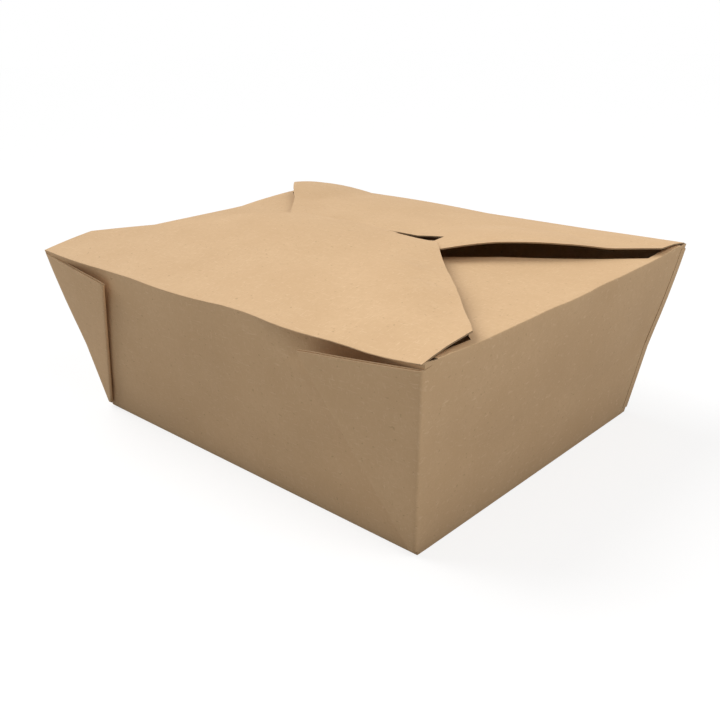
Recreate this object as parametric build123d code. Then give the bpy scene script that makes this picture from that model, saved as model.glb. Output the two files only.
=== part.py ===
from build123d import *
import math
import os

# Takeout container folded from one sheet of board. Millimetres, +X along the long side, -Y the front,
# +Z up, origin in the middle of the underside.

# Board and tray
board = 0.45
base_length = 152.4
base_depth = 120.65
height = 63.5
flare = 10.5
base_fold_radius = 0.8

# Webs folded flat against the front and back walls, two layers each
web_layer_gap = 0.3
web_crease_depth = 0.3
web_crease_strip = 3.5
web_stand_off = 4.0
web_foot = 2.0
web_corner_drop = 0.9
web_free_drop = 4.4

# Long flaps, alike in outline
flap_side_clearance = 0.34
flap_ear_length = 18.5
flap_overlap = 6.2
flap_free_width = 62.0
flap_corner_radius = 4.0
crease_clearance = 0.3
front_crown = 5.0
front_lift = 3.9
back_crown = 3.4
back_lift = 2.2

# Tongue of the front flap, and the slot of the back flap that it hangs in
tongue_root_width = 26.0
tongue_tip_width = 22.0
tongue_shoulder = 1.5
tongue_drop = 7.0
tongue_bend_radius = 1.6
tongue_corner_radius = 3.0
slot_end_room = 14.0
slot_front_room = 0.7
slot_back_room = 4.0
slot_corner_radius = 1.5

# End flaps, under the long ones: a rolled fold along the rim, then a taper
end_fold_length = 132.0
end_fold_radius = 1.6
end_flap_shoulder = 2.4
end_flap_width = 93.0
end_flap_length = 54.0
end_flap_tip_width = 10.4
end_flap_corner_radius = 3.0
end_flap_droop = 0.3

# Worked out from the sizes above
slope = math.atan2(flare, height)
wall = board / math.cos(slope)
rim_x = base_length / 2 + flare
rim_y = base_depth / 2 + flare
crease_x = rim_x - wall / 2
crease_y = rim_y - wall / 2
crease_z = height - board / 2
front_rim = height - board - crease_clearance
end_fold_turn = math.pi / 2 + slope
end_fold_reach = end_fold_radius * math.tan(end_fold_turn / 2)
end_rim = crease_z - end_fold_reach * math.cos(slope)
far = rim_x + rim_y + height


def frustum(length, depth, low, high):
    """Solid between two levels with sides parallel to the walls, of this length and depth at the ground."""

    def level(z):
        growth = 2 * flare * z / height
        return Pos(0, 0, z) * Rectangle(length + growth, depth + growth)

    return loft([level(low), level(high)], ruled=True)


def rounded_at_base(solid, radius):
    return fillet(solid.faces().sort_by(Axis.Z)[0].edges(), radius)


def tray():
    """Base and four walls, with the rim cut down where a flap's crease takes its place."""
    outside = rounded_at_base(frustum(base_length, base_depth, 0, height), base_fold_radius)
    hollow = frustum(base_length - 2 * wall, base_depth - 2 * wall, board, height + board)
    shell = outside - rounded_at_base(hollow, base_fold_radius - board)
    front_half = Pos(0, -far / 2, 0) * Box(far * 2, far, far * 2)
    back_half = Pos(0, far / 2, 0) * Box(far * 2, far, far * 2)
    between_ends = base_length - 2 * wall
    past_walls = base_depth + 2 * wall
    front_cut = frustum(between_ends, past_walls, front_rim, height + board) & front_half
    back_cut = frustum(between_ends, past_walls, crease_z, height + board) & back_half
    end_cut = Pos(0, 0, end_rim) * Box(far * 2, end_fold_length, far, align=(Align.CENTER, Align.CENTER, Align.MIN))
    return shell - front_cut - back_cut - end_cut


def corner_web():
    """Web of the +X, -Y corner: two triangles of board joined by a fold, open at the top, apex at the base."""
    edge_length = math.hypot(height, flare, flare)
    wall_length = math.hypot(height, flare)
    edge_lean = math.asin(flare / wall_length)
    half_angle = (math.pi / 2 - 2 * edge_lean) / 2
    free_length = (wall_length - web_free_drop) / math.cos(half_angle - edge_lean)
    free_edge = Vector(-math.sin(half_angle), math.cos(half_angle))
    free_end = free_edge * free_length
    thickness = 2 * board + web_layer_gap

    outline = Polyline(
        (0, web_foot),
        (0, edge_length - web_corner_drop),
        free_end,
        (-web_foot * math.tan(half_angle), web_foot),
        close=True,
    )
    web = extrude(make_face(outline), thickness)
    web = fillet(web.edges().filter_by(Axis((0, 0, 0), free_edge)), thickness / 2 - board / 20)
    web = fillet(web.edges().filter_by(Axis.Y).sort_by(Axis.Z)[-1], board)

    pocket_low = (board + web_crease_strip * math.cos(half_angle)) / math.sin(half_angle)
    pocket_high = edge_length + free_length
    pocket_wide = (pocket_high * math.sin(half_angle) - board) / math.cos(half_angle)
    pocket_outline = Polyline(
        (-web_crease_strip, pocket_low),
        (-web_crease_strip, pocket_high),
        (-pocket_wide, pocket_high),
        close=True,
    )
    web -= Pos(0, 0, board) * extrude(make_face(pocket_outline), web_layer_gap)

    base_corner = Vector(base_length / 2, -base_depth / 2, 0)
    corner_edge = Vector(flare, -flare, height).normalized()
    outwards = Vector(0, -math.cos(slope), -math.sin(slope))
    against_wall = Plane(base_corner, x_dir=corner_edge.cross(outwards), z_dir=outwards)
    opening = math.degrees(math.asin(web_stand_off / -free_end.X))
    return against_wall.location * Pos(0, 0, -web_crease_depth) * Rot(0, opening, 0) * web


def bent_board(plane, path, *outlines):
    """Board that follows a path on an upright plane, cut to outlines on other planes."""
    sheet = extrude(plane * make_face(offset(path, board / 2, side=Side.BOTH)), far, both=True)
    for outline in outlines:
        sheet &= extrude(outline, far, both=True)
    return sheet


def both_sides(right):
    """Points of an outline's right half, followed by their mirror images in reverse order."""
    return right + [(-x, y) for x, y in reversed(right)]


def rounded_outline(points, rounded, radius):
    """Closed outline with some of its corners, given by their places in the list, rounded."""
    face = make_face(Polyline(*points, close=True))
    corners = [face.vertices().sort_by_distance((*points[place], 0))[0] for place in rounded]
    return fillet(corners, radius)


def long_flap_outline(free_edge):
    """Plan of a flap on the front crease: straight ears beside the end walls, then tapers to its free edge."""
    half_width = rim_x - wall - flap_side_clearance
    ear_end = flap_ear_length - rim_y
    right = [(half_width, -far), (half_width, ear_end), *free_edge]
    return rounded_outline(both_sides(right), [1, 2, -3, -2], flap_corner_radius)


def flap_arch(crown, lift):
    """Section of a long flap that springs from the front crease."""
    middle = (flap_overlap - crease_y) / 2
    return ThreePointArc((-crease_y, crease_z), (middle, height + crown), (flap_overlap, height + lift))


front_arch = flap_arch(front_crown, front_lift)
tongue_heading = front_arch % 1
tongue_turn = -90 - math.degrees(math.atan2(tongue_heading.Y, tongue_heading.X))
tongue_bend = JernArc(front_arch @ 1, tongue_heading, tongue_bend_radius, tongue_turn)
tongue_fall = Line(tongue_bend @ 1, tongue_bend @ 1 - Vector(0, tongue_drop))
tongue_tip = tongue_fall @ 1


def front_flap():
    """Flap that closes the lid, its crease round about the hinge line and its tongue turned down."""
    shoulder = flap_overlap - tongue_shoulder
    root = tongue_root_width / 2
    plan = long_flap_outline([(flap_free_width / 2, shoulder), (root, shoulder), (root, far)])
    tip_level = tongue_tip.Y - board / 2
    right = [(far, far), (far, front_rim), (root, front_rim), (tongue_tip_width / 2, tip_level)]
    elevation = rounded_outline(both_sides(right), [3, 4], tongue_corner_radius)
    path = Wire([front_arch, tongue_bend, tongue_fall])
    return bent_board(Plane.YZ, path, plan, Plane.XZ * elevation)


def back_flap():
    """Flap folded in from the back wall, with the slot for the tongue."""
    plan = long_flap_outline([(flap_free_width / 2, flap_overlap + board)])
    panel = mirror(bent_board(Plane.YZ, flap_arch(back_crown, back_lift), plan), about=Plane.XZ)
    slot_length = tongue_root_width + 2 * slot_end_room
    slot_depth = board + slot_front_room + slot_back_room
    slot_middle = tongue_tip.X + (slot_back_room - slot_front_room) / 2
    slot = Pos(0, slot_middle) * RectangleRounded(slot_length, slot_depth, slot_corner_radius)
    return panel - extrude(slot, far)


def end_flap():
    """Short tapered flap rolled over from the +X wall to level, drooping a little to its tip."""
    tip_x = crease_x - end_flap_length
    shoulder_x = crease_x - end_flap_shoulder
    crease = Vector(crease_x, crease_z)
    up_wall = Vector(math.sin(slope), math.cos(slope))
    root = Line(crease - up_wall * (end_fold_reach + board), crease - up_wall * end_fold_reach)
    roll = JernArc(root @ 1, up_wall, end_fold_radius, math.degrees(end_fold_turn))
    level = TangentArc(roll @ 1, (tip_x - board, crease_z - end_flap_droop), tangent=(-1, 0))
    back = [
        (far, end_fold_length / 2),
        (shoulder_x, end_fold_length / 2),
        (shoulder_x, end_flap_width / 2),
        (tip_x, end_flap_tip_width / 2),
    ]
    front = [(x, -y) for x, y in reversed(back)]
    plan = rounded_outline(back + front, [2, 3, 4, 5], end_flap_corner_radius)
    return bent_board(Plane.XZ, Wire([root, roll, level]), plan)


def on_both_ends(piece):
    return piece + mirror(piece, about=Plane.YZ)


def carton():
    """Everything that is folded and stays so: tray, webs, back flap and end flaps, one sheet of board."""
    webs = on_both_ends(corner_web())
    return tray() + webs + mirror(webs, about=Plane.XZ) + back_flap() + on_both_ends(end_flap())


os.makedirs("parts", exist_ok=True)
export_step(carton(), "parts/carton.step")
export_step(front_flap(), "parts/front_flap.step")
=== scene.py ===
import math

import bmesh
import bpy
from mathutils import Matrix, Vector


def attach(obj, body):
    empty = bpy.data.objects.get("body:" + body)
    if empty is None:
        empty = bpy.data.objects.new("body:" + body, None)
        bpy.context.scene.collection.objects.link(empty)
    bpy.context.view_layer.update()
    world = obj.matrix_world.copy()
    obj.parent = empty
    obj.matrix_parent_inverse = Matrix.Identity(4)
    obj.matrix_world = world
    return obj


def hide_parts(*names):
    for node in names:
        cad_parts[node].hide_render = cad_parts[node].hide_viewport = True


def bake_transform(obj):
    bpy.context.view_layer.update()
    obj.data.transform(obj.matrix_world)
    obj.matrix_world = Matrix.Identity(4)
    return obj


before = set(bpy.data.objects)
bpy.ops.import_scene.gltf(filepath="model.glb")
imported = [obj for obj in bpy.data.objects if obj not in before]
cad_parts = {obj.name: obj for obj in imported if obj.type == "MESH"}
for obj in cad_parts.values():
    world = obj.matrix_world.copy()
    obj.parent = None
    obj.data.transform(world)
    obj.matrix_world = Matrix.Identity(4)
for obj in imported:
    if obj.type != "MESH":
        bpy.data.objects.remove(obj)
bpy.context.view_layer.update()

mm = 0.001
hair = 0.01 * mm

# A face lies if its normal has at least this upward part
lying_from = 0.7

# Steps in which board is swung: along a long flap, along an end flap and round a tight bend
arch_steps = 36
end_flap_steps = 14
bend_steps = 6

# Carton, as outside sizes, and its board
board = 0.45 * mm
base_half_x = 76.2 * mm
base_half_y = 60.325 * mm
rim_half_x = 86.7 * mm
rim_half_y = 70.825 * mm
rim_height = 63.5 * mm
crease_height = rim_height - board / 2
flare = rim_half_x - base_half_x
slope = math.atan2(flare, rim_height)
half_wall = board / 2 / math.cos(slope)

# Middle of the board at the base and at the creases
half_board_lean = flare * (board / 2) / rim_height
floor_x = base_half_x + half_board_lean - half_wall
floor_y = base_half_y + half_board_lean - half_wall
crease_x = rim_half_x - half_board_lean - half_wall
crease_y = rim_half_y - half_board_lean - half_wall

# Folds, as how far each one is rolled to both sides
base_roll = 0.8 * mm
long_crease_roll = 0.5 * mm
end_fold_roll = 1.9 * mm

# Long flaps
flap_half_x = 85.9 * mm
ear_reach = 52.3 * mm
free_half_x = 31.0 * mm
flap_corner = 4.0 * mm
front_crown = (-32.2 * mm, 68.5 * mm)
front_free = (6.2 * mm, 67.4 * mm)
front_shoulder = 4.7 * mm
back_crown = (32.2 * mm, 66.9 * mm)
back_free = (-6.4 * mm, 65.7 * mm)

# Tongue and slot
tongue_root = 13.0 * mm
tongue_tip = 11.0 * mm
tongue_drop = 7.0 * mm
tongue_bend = 1.6 * mm
tongue_corner = 3.0 * mm
slot_half_x = 27.0 * mm
slot_front = 6.7 * mm
slot_back = 11.85 * mm
slot_corner = 1.5 * mm
slot_room = 6.0 * mm

# End flaps, each with a fold that ends one step of the rim short of the corners
rim_steps = 30
end_fold_half = crease_y * (rim_steps - 2) / rim_steps
end_shoulder = 2.4 * mm
end_half = 46.5 * mm
end_tip_half = 5.2 * mm
end_length = 54.0 * mm
end_corner = 3.0 * mm
end_droop = 0.3 * mm

# Webs
web_half_angle = (math.pi / 2 - 2 * slope) / 2
web_top = 63.2 * mm
web_free_length = 65.7 * mm
web_foot = 2.0 * mm
web_gap = 0.3 * mm
web_stand_off = 4.0 * mm
web_proud = 10 * hair
web_wrap = 3.0 * mm
web_corner_roll = 0.6 * mm

# Corners of the rim, bent out
corner_flare = 1.2 * mm
corner_reach = 35.0 * mm


# Bench work


def choose(piece):
    """Makes a piece the only selected one."""
    bpy.ops.object.select_all(action="DESELECT")
    piece.select_set(True)
    bpy.context.view_layer.objects.active = piece


def take_up(piece):
    """Opens a piece for shaping."""
    choose(piece)
    bpy.ops.object.mode_set(mode="EDIT")


def put_down():
    bpy.ops.object.mode_set(mode="OBJECT")


def pick(kind, wanted, lying=False, by_middle=False):
    """Selects only those vertices, edges or faces in sight whose corners, or middle, pass the test."""
    bpy.ops.mesh.select_mode(type=kind)
    bpy.ops.mesh.select_all(action="DESELECT")
    sheet = bmesh.from_edit_mesh(bpy.context.edit_object.data)
    for part in {"VERT": sheet.verts, "EDGE": sheet.edges, "FACE": sheet.faces}[kind]:
        if part.hide or lying and abs(part.normal.z) < lying_from:
            continue
        corners = [part] if kind == "VERT" else part.verts
        points = [part.calc_center_median()] if by_middle else [corner.co for corner in corners]
        if all(wanted(point) for point in points):
            part.select_set(True)
    sheet.select_flush_mode()
    bmesh.update_edit_mesh(bpy.context.edit_object.data)


def finish_with(piece, kind, **settings):
    """Adds a modifier to a piece and applies it."""
    choose(piece)
    modifier = piece.modifiers.new(kind.lower(), kind)
    for setting, value in settings.items():
        setattr(modifier, setting, value)
    bpy.ops.object.modifier_apply(modifier=modifier.name)


def rounded(points, radii, steps=5):
    """Convex outline, anticlockwise, with the corners that have a radius rounded."""
    outline = []
    for place, radius in enumerate(radii):
        here = Vector(points[place])
        if not radius:
            outline.append(here)
            continue
        before = (Vector(points[place - 1]) - here).normalized()
        after = (Vector(points[(place + 1) % len(points)]) - here).normalized()
        half = before.angle(after) / 2
        middle = here + (before + after).normalized() * radius / math.sin(half)
        start = here + before * radius / math.tan(half) - middle
        for step in range(steps + 1):
            outline.append(middle + Matrix.Rotation((math.pi - 2 * half) * step / steps, 2) @ start)
    return outline


def cut_out(outline, region, keep_inside):
    """Cuts a region's faces along a convex outline seen from above, and throws away one side."""
    edges = list(zip(outline, outline[1:] + outline[:1]))
    for start, end in edges:
        along = end - start
        pick("FACE", region, lying=True)
        bpy.ops.mesh.bisect(plane_co=(*start, 0), plane_no=(along.y, -along.x, 0), threshold=2 * hair)

    def inside(p):
        return all((end - start).cross(p.xy - start) > 0 for start, end in edges)

    pick("FACE", lambda p: region(p) and inside(p) != keep_inside, lying=True, by_middle=True)
    bpy.ops.mesh.delete(type="FACE")


def arch(start, crown, free):
    """Centre of a circle through three points of a section, and the angle from the first to the last."""
    (ay, az), (by, bz), (cy, cz) = start, crown, free
    a, b, c = ay * ay + az * az, by * by + bz * bz, cy * cy + cz * cz
    twice = 2 * (ay * (bz - cz) + by * (cz - az) + cy * (az - bz))
    y = (a * (bz - cz) + b * (cz - az) + c * (az - bz)) / twice
    z = (a * (cy - by) + b * (ay - cy) + c * (by - ay)) / twice
    return (y, z), math.atan2(cz - z, cy - y) - math.atan2(az - z, ay - y)


def swing(centre, turn, axis, steps):
    """Swings the selected edges round a centre, leaving board behind them."""
    bpy.ops.mesh.spin(steps=steps, dupli=False, angle=-turn, center=centre, axis=axis)


def ease(point, move, reach):
    """Pulls the nearest vertex in sight by a move, and its surroundings less and less up to a reach."""
    sheet = bmesh.from_edit_mesh(bpy.context.edit_object.data)
    in_sight = (corner.co for corner in sheet.verts if not corner.hide)
    nearest = min(in_sight, key=lambda co: (co - point).length).copy()
    pick("VERT", lambda p: (p - nearest).length < hair)
    bpy.ops.transform.translate(
        value=move,
        use_proportional_edit=True,
        proportional_edit_falloff="INVERSE_SQUARE",
        proportional_size=reach,
    )


def flare_corner(end, side):
    """Bends a corner of the rim out a little."""
    corner = Vector((end * crease_x, side * crease_y, crease_height))
    ease(corner, (end * corner_flare, side * corner_flare, 0), corner_reach)


def fold_here(roll):
    """Marks the selected edges as a fold that is rolled this far to both sides."""
    bpy.ops.transform.edge_bevelweight(value=roll / end_fold_roll)


def lay_aside(wanted):
    """Hides faces, so that nothing reaches them."""
    pick("FACE", wanted, by_middle=True)
    bpy.ops.mesh.hide(unselected=False)


def bring_back():
    bpy.ops.mesh.reveal(select=False)


# Finishes: kraft board outside, its sealed inner side and its cut edge, the last darkened with painted shade


def feed(tree, socket, value):
    """Links another node's output to a socket, or sets a constant on it."""
    if isinstance(value, bpy.types.NodeSocket):
        tree.links.new(value, socket)
    else:
        socket.default_value = value


def part_of(tree, kind, **values):
    """Adds a node to a tree and feeds its inputs by name."""
    added = tree.nodes.new(kind)
    for name, value in values.items():
        wanted = name.replace("_", " ")
        feed(tree, next(socket for socket in added.inputs if socket.name == wanted and socket.enabled), value)
    return added


def reckon(tree, how, *values):
    """Works out a value from up to three others."""
    sum_of = tree.nodes.new("ShaderNodeMath")
    sum_of.operation = how
    sum_of.use_clamp = how == "ADD"
    for socket, value in zip(sum_of.inputs, values):
        feed(tree, socket, value)
    return sum_of.outputs["Value"]


def kraft(name, pale, deep, fibre, fleck, smooth, rough):
    """Kraft board: clouded pulp with longer fibres pressed in both ways, dark flecks and a slight tooth."""
    material = bpy.data.materials.new(name)
    material.use_nodes = True
    tree = material.node_tree
    shader = tree.nodes["Principled BSDF"]
    place = part_of(tree, "ShaderNodeTexCoord").outputs["Object"]

    def grain(size, low, high, stretch=(1, 1, 1), detail=2, distortion=0):
        """Share that rises from 0 to 1 between two levels of a noise with lumps of this size."""
        scale = [1 / size / length for length in stretch]
        drawn = part_of(tree, "ShaderNodeMapping", Vector=place, Scale=scale)
        noise = part_of(
            tree,
            "ShaderNodeTexNoise",
            Vector=drawn.outputs["Vector"],
            Scale=1,
            Detail=detail,
            Distortion=distortion,
        )
        share = part_of(tree, "ShaderNodeMapRange", Value=noise.outputs[0], From_Min=low, From_Max=high)
        return share.outputs["Result"]

    def over(share, under, paint):
        """Colour with a share of paint over what is under it."""
        mix = tree.nodes.new("ShaderNodeMix")
        mix.data_type = "RGBA"
        sockets = [socket for socket in mix.inputs if socket.enabled]
        for socket, value in zip(sockets, (share, under, paint)):
            feed(tree, socket, value)
        return next(socket for socket in mix.outputs if socket.enabled)

    clouds = grain(16 * mm, 0.25, 0.75, detail=3)
    pulp = grain(1.6 * mm, 0.2, 0.8, detail=4, distortion=0.6)
    along = grain(0.32 * mm, 0.6, 0.78, stretch=(9, 1, 1.4), distortion=0.4)
    cross = grain(0.32 * mm, 0.6, 0.78, stretch=(1, 7, 5), distortion=0.4)
    fibres = reckon(tree, "MAXIMUM", along, cross)
    flecks = grain(0.7 * mm, 0.71, 0.76, stretch=(2, 1.4, 1.4), detail=1)
    tooth = grain(0.35 * mm, 0, 1, detail=3)

    body = over(reckon(tree, "MULTIPLY", clouds, pulp), deep, pale)
    body = over(fibres, body, fibre)
    tree.links.new(over(flecks, body, fleck), shader.inputs["Base Color"])
    patches = reckon(tree, "MULTIPLY", pulp, tooth)
    gloss = part_of(tree, "ShaderNodeMapRange", Value=patches, To_Min=smooth, To_Max=rough)
    tree.links.new(gloss.outputs["Result"], shader.inputs["Roughness"])
    tooth_height = 0.6
    surface = reckon(tree, "MULTIPLY_ADD", tooth, tooth_height, pulp)
    relief = reckon(tree, "MAXIMUM", surface, fibres)
    bump = part_of(tree, "ShaderNodeBump", Strength=0.35, Distance=0.03 * mm, Height=relief)
    tree.links.new(bump.outputs["Normal"], shader.inputs["Normal"])
    shader.inputs["Specular IOR Level"].default_value = 0.3
    return material


finishes = [
    kraft(
        "kraft_board",
        pale=(0.74, 0.505, 0.29, 1),
        deep=(0.66, 0.435, 0.238, 1),
        fibre=(0.78, 0.55, 0.33, 1),
        fleck=(0.57, 0.37, 0.2, 1),
        smooth=0.7,
        rough=0.9,
    ),
    kraft(
        "kraft_inside",
        pale=(0.7, 0.47, 0.262, 1),
        deep=(0.62, 0.4, 0.212, 1),
        fibre=(0.74, 0.51, 0.3, 1),
        fleck=(0.5, 0.32, 0.17, 1),
        smooth=0.45,
        rough=0.65,
    ),
    # Cut edge: the board's grain, with its colour darkened to about half as painted shade, so the top-lit cut
    # edges look as dim as the walls
    kraft(
        "kraft_cut_edge_painted_shade",
        pale=(0.38, 0.25, 0.14, 1),
        deep=(0.32, 0.21, 0.115, 1),
        fibre=(0.45, 0.31, 0.19, 1),
        fleck=(0.25, 0.16, 0.085, 1),
        smooth=0.85,
        rough=0.95,
    ),
]


# Blank of the carton: base, walls and flaps in one sheet


def raise_walls():
    """Base and walls, open at the top, divided finely enough to bend."""
    middle = (board / 2 + crease_height) / 2
    bpy.ops.object.select_all(action="DESELECT")
    bpy.ops.mesh.primitive_cube_add(
        size=1, location=(0, 0, middle), scale=(2 * crease_x, 2 * crease_y, crease_height - board / 2)
    )
    bpy.ops.object.transform_apply(location=True, rotation=True, scale=True)
    carton = bpy.context.object
    carton.name = "carton_board"
    take_up(carton)
    pick("FACE", lambda p: p.z > middle)
    bpy.ops.mesh.delete(type="FACE")
    pick("FACE", lambda p: p.z < middle)
    bpy.ops.transform.resize(value=(floor_x / crease_x, floor_y / crease_y, 1))
    pick("EDGE", lambda p: p.z < middle)
    fold_here(base_roll)
    bpy.ops.mesh.select_all(action="SELECT")
    bpy.ops.mesh.subdivide(number_cuts=rim_steps - 1)
    return carton


def on_flap(p):
    """On a crease or past it."""
    return p.z > crease_height - hair


def fold_front_flap():
    """Flap swung over from the front crease and cut to shape, its tongue turned down, grouped to be parted."""
    centre, turn = arch((-crease_y, crease_height), front_crown, front_free)
    pick("EDGE", lambda p: on_flap(p) and p.y < hair - crease_y)
    fold_here(long_crease_roll)
    swing((0, *centre), turn, (1, 0, 0), arch_steps)
    for side in (-1, 1):
        pick("FACE", on_flap, lying=True)
        bpy.ops.mesh.bisect(plane_co=(side * tongue_root, 0, 0), plane_no=(1, 0, 0), threshold=hair)
    right = [(flap_half_x, -2 * crease_y), (flap_half_x, -ear_reach), (free_half_x, front_shoulder)]
    outline = rounded(right + [(-x, y) for x, y in reversed(right)], [0, *[flap_corner] * 4, 0])
    for side in (-1, 1):
        cut_out(outline, lambda p: on_flap(p) and side * p.x > tongue_root - hair, keep_inside=True)

    heading = math.atan2(front_free[1] - centre[1], front_free[0] - centre[0]) - math.pi / 2
    bend = (front_free[0] + tongue_bend * math.sin(heading), front_free[1] - tongue_bend * math.cos(heading))
    pick("EDGE", lambda p: on_flap(p) and abs(p.y - front_free[0]) < hair and abs(p.x) < tongue_root + hair)
    swing((0, *bend), -math.pi / 2 - heading, (1, 0, 0), bend_steps)
    bpy.ops.mesh.extrude_edges_move(TRANSFORM_OT_translate={"value": (0, 0, -tongue_drop)})
    bpy.ops.transform.resize(value=(tongue_tip / tongue_root, 1, 1))
    tip = bend[1] - tongue_drop
    near_slot = 10 * mm
    pick("VERT", lambda p: abs(p.y) < near_slot and abs(p.z - tip) < mm and abs(abs(p.x) - tongue_tip) < mm)
    bpy.ops.mesh.bevel(offset=tongue_corner, segments=5, affect="VERTICES")

    def panel(p):
        return on_flap(p) and p.y < crease_y - mm and abs(p.x) < flap_half_x + hair

    def tongue(p):
        return abs(p.y) < near_slot and abs(p.x) < tongue_root + hair and p.z > tip - mm

    def crease_strip(p):
        return p.y < mm - crease_y and p.z > crease_height - 2 * mm

    pick("VERT", lambda p: panel(p) or tongue(p) or crease_strip(p))
    bpy.ops.object.vertex_group_assign_new()
    bpy.context.object.vertex_groups.active.name = "front_flap"


def fold_back_flap():
    """Flap swung over from the back crease and cut to shape, with the slot for the tongue."""
    centre, turn = arch((crease_y, crease_height), back_crown, back_free)
    pick("EDGE", lambda p: on_flap(p) and p.y > crease_y - hair)
    fold_here(long_crease_roll)
    swing((0, *centre), turn, (1, 0, 0), arch_steps)
    right = [(free_half_x, back_free[0]), (flap_half_x, ear_reach), (flap_half_x, 2 * crease_y)]
    outline = rounded([(-x, y) for x, y in reversed(right)] + right, [0, *[flap_corner] * 4, 0])
    cut_out(outline, on_flap, keep_inside=True)

    def round_slot(p):
        beside = abs(p.x) < slot_half_x + slot_room
        return on_flap(p) and beside and slot_front - slot_room < p.y < slot_back + slot_room

    near, far = (slot_half_x, slot_front), (slot_half_x, slot_back)
    slot = rounded([(-near[0], near[1]), near, far, (-far[0], far[1])], [slot_corner] * 4)
    cut_out(slot, round_slot, keep_inside=False)


def fold_end_flap(end):
    """Flap of the right end (1) or the left one (-1), nearly level, cut to its taper."""
    radius = end_length**2 / 2 / end_droop
    shoulder_x = crease_x - end_shoulder
    tip_x = crease_x - end_length
    pick("EDGE", lambda p: on_flap(p) and end * p.x > crease_x - hair and abs(p.y) < end_fold_half + hair)
    fold_here(end_fold_roll)
    swing((end * crease_x, 0, crease_height - radius), -end * end_length / radius, (0, 1, 0), end_flap_steps)

    def flap(p):
        return crease_height - 2 * end_droop < p.z < crease_height + hair and end * p.x > tip_x - mm

    pick("FACE", flap, lying=True)
    bpy.ops.mesh.bisect(plane_co=(end * shoulder_x, 0, 0), plane_no=(1, 0, 0), threshold=hair)
    back = [(2 * crease_x, end_half), (shoulder_x, end_half), (tip_x, end_tip_half)]
    outline = back + [(x, -y) for x, y in reversed(back)]
    if end < 0:
        outline = [(-x, y) for x, y in reversed(outline)]
    outline = rounded(outline, [0, 0, end_corner, end_corner, 0, 0])
    cut_out(outline, lambda p: flap(p) and end * p.x < shoulder_x + hair, keep_inside=True)


def flaps(p):
    """Flaps that are folded in already."""
    return p.z > crease_height - 2 * end_droop and abs(p.x) < crease_x - mm and abs(p.y) < crease_y - mm


def base(p):
    return p.z < mm


def walls(p):
    """Base and walls: what else hangs lower than the creases is the tongue, near the middle."""
    near_tongue = max(abs(p.x), abs(p.y)) <= 2 * tongue_root
    return base(p) or p.z < crease_height - hair and not near_tongue


def at_front_crease(x, below=0):
    return Vector((x * mm, -crease_y, crease_height - below))


carton = raise_walls()

# Front flap: lifted on the left, a little on the right, and drooping along its right taper
fold_front_flap()
lay_aside(walls)
ease(Vector((-free_half_x, front_shoulder, front_free[1])), (0, 0, 2.3 * mm), 55 * mm)
ease(Vector((free_half_x, front_shoulder, front_free[1])), (0, 0, 0.6 * mm), 22 * mm)
for x, y in ((72, -38), (58.5, -24), (45, -10)):
    ease(Vector((x * mm, y * mm, front_crown[1])), (0, 0, -1.5 * mm), 14 * mm)
bring_back()
lay_aside(flaps)

# Back flap: raised on the right, and its left ear pulled forward and up
fold_back_flap()
lay_aside(walls)
ease(Vector((50 * mm, 15 * mm, back_crown[1])), (0, 0, 2.4 * mm), 34 * mm)
ease(Vector((-flap_half_x, ear_reach + flap_corner, back_crown[1])), (0, -3 * mm, 1.7 * mm), 32 * mm)
bring_back()
lay_aside(flaps)

fold_end_flap(1)
lay_aside(flaps)
fold_end_flap(-1)
bring_back()

# The sheet is open, and this turns its outside outwards
bpy.ops.mesh.select_all(action="SELECT")
bpy.ops.mesh.normals_make_consistent(inside=True)

# Right end flap: its front corner pulled forward
lay_aside(lambda p: not crease_height - 2 * end_droop < p.z < crease_height + hair)
ease(Vector((crease_x - end_shoulder, -end_half, crease_height)), (0, -4 * mm, 0), 12 * mm)
bring_back()

# Front crease: out and down over the right web
lay_aside(walls)
ease(at_front_crease(52), (0, -1.3 * mm, -0.9 * mm), 26 * mm)
ease(at_front_crease(73), (0, -0.3 * mm, -1.2 * mm), 14.5 * mm)
bring_back()

# Front wall: pressed in under its crease, deep over the right web and a little over the left one
lay_aside(lambda p: flaps(p) or base(p) or p.z > crease_height - 2 * mm)
for x, dent in ((48, 2.5), (57, 3.5), (65, 3), (71, 1.6), (-56, 0.8), (-63, 0.5), (-70, 0.25)):
    ease(at_front_crease(x, below=4 * mm), (0, dent * mm, 0), 9 * mm)
bring_back()

# Rims: the left and back ones raised, the corners bent out, the front and right ones bulging out and down
lay_aside(base)
ease(Vector((-crease_x, 52 * mm, crease_height)), (0, 0, 2 * mm), 34 * mm)
ease(Vector((-40 * mm, crease_y, crease_height)), (0, 0, 1.1 * mm), 45 * mm)
for end, side in ((1, -1), (1, 1), (-1, 1), (-1, -1)):
    flare_corner(end, side)
ease(at_front_crease(20), (0, -1.5 * mm, -1.2 * mm), 50 * mm)
ease(at_front_crease(-45), (0, -1.8 * mm, -1.7 * mm), 60 * mm)
for y in (-28, 22):
    ease(Vector((crease_x, y * mm, crease_height)), (1.5 * mm, 0, -1 * mm), 40 * mm)
bring_back()
put_down()

# Folds rolled, and the flap that moves parted from the rest
finish_with(carton, "BEVEL", width=end_fold_roll, segments=5, limit_method="WEIGHT", use_clamp_overlap=True)
take_up(carton)
bpy.ops.mesh.select_mode(type="VERT")
bpy.ops.mesh.select_all(action="DESELECT")
bpy.ops.object.vertex_group_select()
bpy.ops.mesh.select_mode(type="FACE")
bpy.ops.mesh.separate(type="SELECTED")
put_down()
front_flap = next(piece for piece in bpy.context.selected_objects if piece != carton)
front_flap.name = "front_flap_board"


def board_sheet(piece):
    """Gives a shaped sheet the board's thickness and finishes: outside, inside and cut edge, the cut edge
    darkened with painted shade.
    """
    for finish in finishes:
        piece.data.materials.append(finish)
    finish_with(
        piece,
        "SOLIDIFY",
        thickness=board,
        offset=0,
        use_even_offset=False,
        material_offset=1,
        material_offset_rim=2,
    )
    bpy.ops.object.shade_smooth_by_angle(angle=math.radians(30))


# Webs: a triangle folded double, standing off the wall


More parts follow.
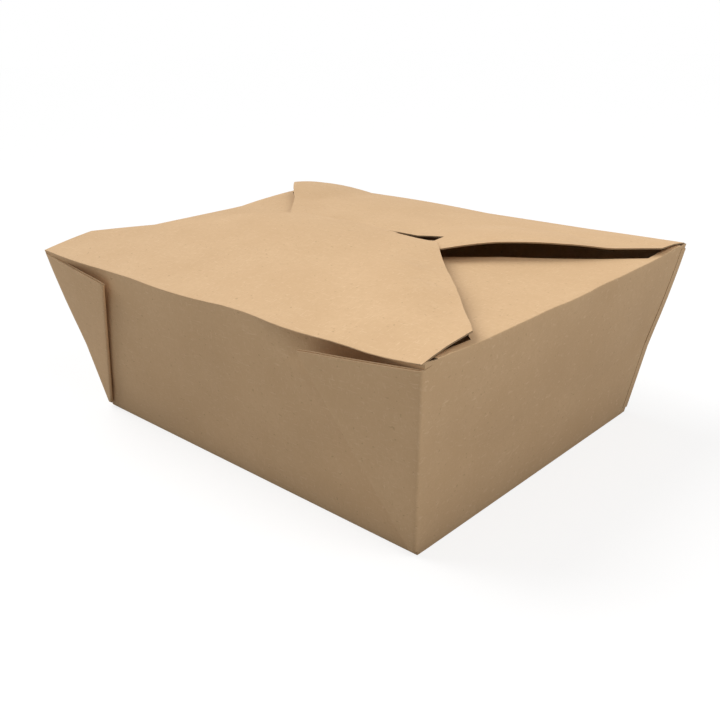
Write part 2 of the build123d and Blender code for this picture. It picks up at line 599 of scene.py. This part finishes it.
def corner_web():
    """Web of the front right corner, folded flat and then turned into its place."""
    outer = 1.5 * board + web_gap
    inner = 0.5 * board
    fold = -board / 2
    free_edge = Vector((-math.sin(web_half_angle), math.cos(web_half_angle), 0))
    free_top = free_edge * web_free_length
    free_foot = Vector((-web_foot * math.tan(web_half_angle) - board, web_foot, 0))
    up_to_outer = Vector((0, 0, outer))
    up_to_inner = Vector((0, 0, inner))

    edge = Vector((flare, -flare, rim_height)).normalized()
    outwards = Vector((0, -math.cos(slope), -math.sin(slope)))
    to_wall = Matrix((edge.cross(outwards), edge, outwards)).transposed()
    to_wall @= Matrix.Rotation(math.asin(web_stand_off / -free_top.x), 3, "Y")
    end_outwards = to_wall.transposed() @ Vector((math.cos(slope), 0, -math.sin(slope)))
    back_along_end = Vector((0, 1, 0)).cross(end_outwards)
    corner = (web_proud - board / 2 - end_outwards.z * outer) / end_outwards.x
    corner_top = Vector((corner, web_top, outer))
    corner_foot = Vector((corner, web_foot, outer))

    bpy.ops.object.select_all(action="DESELECT")
    bpy.ops.mesh.primitive_plane_add(size=2 * mm, location=up_to_outer)
    bpy.ops.object.transform_apply(location=True, rotation=True, scale=True)
    web = bpy.context.object
    web.name = "web_front_right"
    take_up(web)

    def carry(start, goal):
        pick("VERT", lambda p: (p - start).length < hair)
        bpy.ops.transform.translate(value=goal - start)

    def edge_between(start, end):
        pick("EDGE", lambda p: min((p - start).length, (p - end).length) < hair)

    # Outer layer
    carry(Vector((-mm, mm, 0)) + up_to_outer, free_top + up_to_outer)
    carry(Vector((mm, mm, 0)) + up_to_outer, corner_top)
    carry(Vector((mm, -mm, 0)) + up_to_outer, corner_foot)
    carry(Vector((-mm, -mm, 0)) + up_to_outer, free_foot + up_to_outer)

    # Fold at the free edge, and the inner layer back to the corner
    edge_between(free_top + up_to_outer, free_foot + up_to_outer)
    swing(free_top + (up_to_outer + up_to_inner) / 2, math.pi, free_foot - free_top, bend_steps)
    aside = Vector((-20 * mm, 0, 0))
    bpy.ops.mesh.extrude_edges_move(TRANSFORM_OT_translate={"value": aside})
    carry(free_top + up_to_inner + aside, Vector((fold, web_top, inner)))
    carry(free_foot + up_to_inner + aside, Vector((fold, web_foot, inner)))

    # Strip round the corner, on the end wall
    edge_between(corner_top, corner_foot)
    bpy.ops.mesh.extrude_edges_move(TRANSFORM_OT_translate={"value": back_along_end * (outer + web_wrap)})
    edge_between(corner_top, corner_foot)
    bpy.ops.mesh.bevel(offset=web_corner_roll, segments=4, affect="EDGES")
    bpy.ops.mesh.select_all(action="SELECT")
    bpy.ops.mesh.normals_make_consistent(inside=False)
    put_down()

    web.matrix_world = Matrix.Translation((base_half_x, -base_half_y, 0)) @ to_wall.to_4x4()
    bpy.ops.object.transform_apply(location=True, rotation=True, scale=True)
    take_up(web)
    bpy.ops.mesh.select_all(action="SELECT")
    bpy.ops.mesh.subdivide(number_cuts=9)
    flare_corner(1, -1)
    put_down()
    return web


def copied(piece, name, across):
    """Copy of a piece on the other side, mirrored along the axes that have -1."""
    choose(piece)
    bpy.ops.object.duplicate()
    copy = bpy.context.object
    copy.name = name
    copy.scale = across
    bpy.ops.object.transform_apply(location=True, rotation=True, scale=True)
    take_up(copy)
    bpy.ops.mesh.select_all(action="SELECT")
    bpy.ops.mesh.normals_make_consistent(inside=False)
    put_down()
    return copy


web = corner_web()
for piece in (carton, front_flap, web):
    board_sheet(piece)
webs = [
    web,
    copied(web, "web_front_left", (-1, 1, 1)),
    copied(web, "web_back_right", (1, -1, 1)),
    copied(web, "web_back_left", (-1, -1, 1)),
]
for piece in (carton, *webs):
    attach(piece, "carton")
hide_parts("carton")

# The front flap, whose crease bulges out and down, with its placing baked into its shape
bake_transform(front_flap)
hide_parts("front_flap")


# Studio
scene = bpy.context.scene
scene.view_settings.view_transform = "Standard"


def seen(tree):
    """Share that is 1 for what the camera sees, straight, mirrored or through something."""
    rays = part_of(tree, "ShaderNodeLightPath")
    straight_or_mirrored = reckon(tree, "ADD", rays.outputs["Is Camera Ray"], rays.outputs["Is Glossy Ray"])
    return reckon(tree, "ADD", straight_or_mirrored, rays.outputs["Is Transmission Ray"])


def mixed(tree, share, first, second):
    mix = tree.nodes.new("ShaderNodeMixShader")
    for socket, value in zip(mix.inputs, (share, first.outputs[0], second.outputs[0])):
        feed(tree, socket, value)
    return mix


white = (1, 1, 1, 1)
world = bpy.data.worlds.new("studio")
scene.world = world
world.use_nodes = True
tree = world.node_tree
tree.nodes.remove(tree.nodes["Background"])
lighting = part_of(tree, "ShaderNodeBackground", Color=white, Strength=0.33)
backdrop = part_of(tree, "ShaderNodeBackground", Color=white, Strength=1)
around = mixed(tree, seen(tree), lighting, backdrop)
tree.links.new(around.outputs[0], tree.nodes["World Output"].inputs["Surface"])


def lamp(kind, name, place, energy):
    """Lamp that points at the object."""
    bpy.ops.object.select_all(action="DESELECT")
    turned = Vector(place).to_track_quat("Z", "Y").to_euler()
    bpy.ops.object.light_add(type=kind, location=place, rotation=turned)
    bpy.context.object.name = name
    bpy.context.object.data.energy = energy
    return bpy.context.object.data


lamp("SUN", "soft_left", (-0.66, -0.17, 0.73), energy=2.05).angle = math.radians(50)
lamp("AREA", "softbox_right", (0.4, -0.05, 0.45), energy=0.95).size = 0.3

bpy.ops.object.select_all(action="DESELECT")
bpy.ops.mesh.primitive_plane_add(size=6, location=(0, 0, -0.02 * mm))
ground = bpy.context.object
ground.name = "ground"
surface = bpy.data.materials.new("ground_paper")
surface.use_nodes = True
tree = surface.node_tree
tree.nodes.remove(tree.nodes["Principled BSDF"])

# Painted shade: close to the base the ground is coloured darker for light bouncing back, so the walls darken
# towards the base
place = part_of(tree, "ShaderNodeSeparateXYZ", Vector=part_of(tree, "ShaderNodeTexCoord").outputs["Object"])
past_ends = reckon(tree, "SUBTRACT", reckon(tree, "ABSOLUTE", place.outputs["X"]), base_half_x)
past_front = reckon(tree, "SUBTRACT", reckon(tree, "ABSOLUTE", place.outputs["Y"]), base_half_y)
past_base = reckon(tree, "MAXIMUM", past_ends, past_front)
painted_shade_bounce = part_of(tree, "ShaderNodeMapRange", Value=past_base, From_Max=25 * mm, To_Min=0.15, To_Max=0.43)
dull = part_of(tree, "ShaderNodeBsdfDiffuse", Color=painted_shade_bounce.outputs["Result"])

# Seen, it is white paper with the object's shadow
glow = part_of(tree, "ShaderNodeEmission", Color=white, Strength=1.08)
paper = part_of(tree, "ShaderNodeBsdfDiffuse", Color=white)
shadow_share = 0.3
plain = mixed(tree, shadow_share, glow, paper)
underfoot = mixed(tree, seen(tree), dull, plain)
tree.links.new(underfoot.outputs[0], tree.nodes["Material Output"].inputs["Surface"])
ground.data.materials.append(surface)

# Camera, with its focal length and the middle of its view in pixels of the picture
picture_side = 720
focal_length = 858.5
view_middle_x, view_middle_y = 360.63, 328.99
sensor_width = 36
azimuth, elevation, roll = 0.755, 0.3445, -0.0222
distance = 314.7 * mm
looks_at = Vector((0, 0, rim_height / 2))

back = Vector(
    (
        math.sin(azimuth) * math.cos(elevation),
        -math.cos(azimuth) * math.cos(elevation),
        math.sin(elevation),
    )
)
right = Vector((math.cos(azimuth), math.sin(azimuth), 0))
up = back.cross(right)
across = right * math.cos(roll) + up * math.sin(roll)
upward = -right * math.sin(roll) + up * math.cos(roll)
camera = bpy.data.objects.new("camera", bpy.data.cameras.new("camera"))
scene.collection.objects.link(camera)
camera.matrix_world = (
    Matrix.Translation(looks_at + back * distance) @ Matrix((across, upward, back)).transposed().to_4x4()
)
camera.data.sensor_width = sensor_width
camera.data.lens = focal_length / picture_side * sensor_width
camera.data.shift_x = (picture_side / 2 - view_middle_x) / picture_side
camera.data.shift_y = (view_middle_y - picture_side / 2) / picture_side
camera.data.clip_start = 0.01
scene.camera = camera
